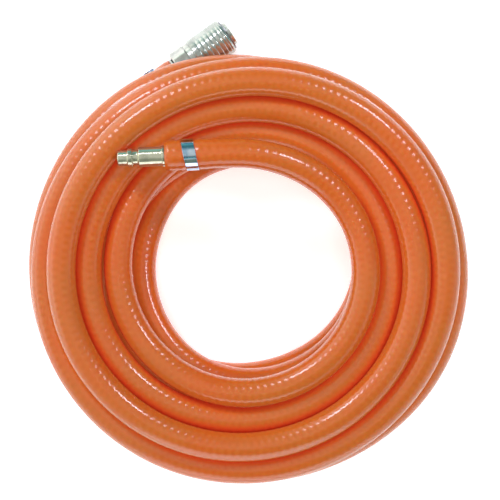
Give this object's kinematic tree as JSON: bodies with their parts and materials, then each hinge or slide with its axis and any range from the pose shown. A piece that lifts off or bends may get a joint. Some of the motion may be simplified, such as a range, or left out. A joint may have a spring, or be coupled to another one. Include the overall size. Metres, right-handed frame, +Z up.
{
  "type": "coiled air hose",
  "caption": "Coil of glossy flexible air hose lying flat, with a barbed plug on its inner end and a sliding-sleeve quick coupler on its outer end, both held by ear clamps.",
  "frame": {"origin": "on the floor, on the axis of the coil's top layer", "axes": "+Z up out of the coil; +X and +Y right and up as seen from straight above, with the coupler at the top"},
  "size_m": [0.2971, 0.3162, 0.0919],
  "materials": {
    "hose_pvc": "glossy translucent orange PVC over a braid",
    "nickel_brass": "bright nickel plate",
    "plated_steel": "nickel-plated steel, turned and grooved",
    "zinc_steel": "bright zinc plate",
    "spring_steel": "plain spring wire",
    "ball_steel": "polished bearing steel",
    "valve_brass": "turned brass",
    "seal_rubber": "matte black rubber"
  },
  "bodies": {
    "hose_assembly": {"hose": "hose_pvc", "plug_nipple": "nickel_brass", "plug_end_clamp": "zinc_steel", "coupler_end_clamp": "zinc_steel", "coupler_tail": "nickel_brass", "tail_seal": "seal_rubber", "coupler_body": "nickel_brass", "plug_seal": "seal_rubber", "sleeve_retaining_ring": "spring_steel", "sleeve_spring": "spring_steel", "valve_spring": "spring_steel"},
    "sleeve": {"locking_sleeve": "plated_steel"},
    "valve": {"valve_poppet": "valve_brass", "poppet_seal": "seal_rubber"},
    "ball_1": {"locking_ball_1": "ball_steel"},
    "ball_2": {"locking_ball_2": "ball_steel"},
    "ball_3": {"locking_ball_3": "ball_steel"},
    "ball_4": {"locking_ball_4": "ball_steel"},
    "ball_5": {"locking_ball_5": "ball_steel"},
    "ball_6": {"locking_ball_6": "ball_steel"}
  },
  "joints": [
    {"name": "sleeve_slide", "type": "slide", "parent": "hose_assembly", "child": "sleeve", "axis": [-0.8141, -0.5807, 0], "range_m": [0, 0.0032], "stiffness_N_per_m": 2500, "springref_m": -0.002, "deforming": ["sleeve_spring"]},
    {"name": "valve_slide", "type": "slide", "parent": "hose_assembly", "child": "valve", "axis": [-0.8141, -0.5807, 0], "range_m": [0, 0.0046], "stiffness_N_per_m": 600, "springref_m": -0.002, "deforming": ["valve_spring"]},
    {"name": "ball_1_slide", "type": "slide", "parent": "hose_assembly", "child": "ball_1", "axis": [0, 0, 1], "range_m": [0, 0.0009]},
    {"name": "ball_2_slide", "type": "slide", "parent": "hose_assembly", "child": "ball_2", "axis": [-0.5029, 0.705, 0.5], "range_m": [0, 0.0009]},
    {"name": "ball_3_slide", "type": "slide", "parent": "hose_assembly", "child": "ball_3", "axis": [-0.5029, 0.705, -0.5], "range_m": [0, 0.0009]},
    {"name": "ball_4_slide", "type": "slide", "parent": "hose_assembly", "child": "ball_4", "axis": [0, 0, -1], "range_m": [0, 0.0009]},
    {"name": "ball_5_slide", "type": "slide", "parent": "hose_assembly", "child": "ball_5", "axis": [0.5029, -0.705, -0.5], "range_m": [0, 0.0009]},
    {"name": "ball_6_slide", "type": "slide", "parent": "hose_assembly", "child": "ball_6", "axis": [0.5029, -0.705, 0.5], "range_m": [0, 0.0009]}
  ],
  "couplings": [
    {"joint": "ball_1_slide", "follows": "sleeve_slide", "ratio": 0.28125},
    {"joint": "ball_2_slide", "follows": "sleeve_slide", "ratio": 0.28125},
    {"joint": "ball_3_slide", "follows": "sleeve_slide", "ratio": 0.28125},
    {"joint": "ball_4_slide", "follows": "sleeve_slide", "ratio": 0.28125},
    {"joint": "ball_5_slide", "follows": "sleeve_slide", "ratio": 0.28125},
    {"joint": "ball_6_slide", "follows": "sleeve_slide", "ratio": 0.28125}
  ]
}
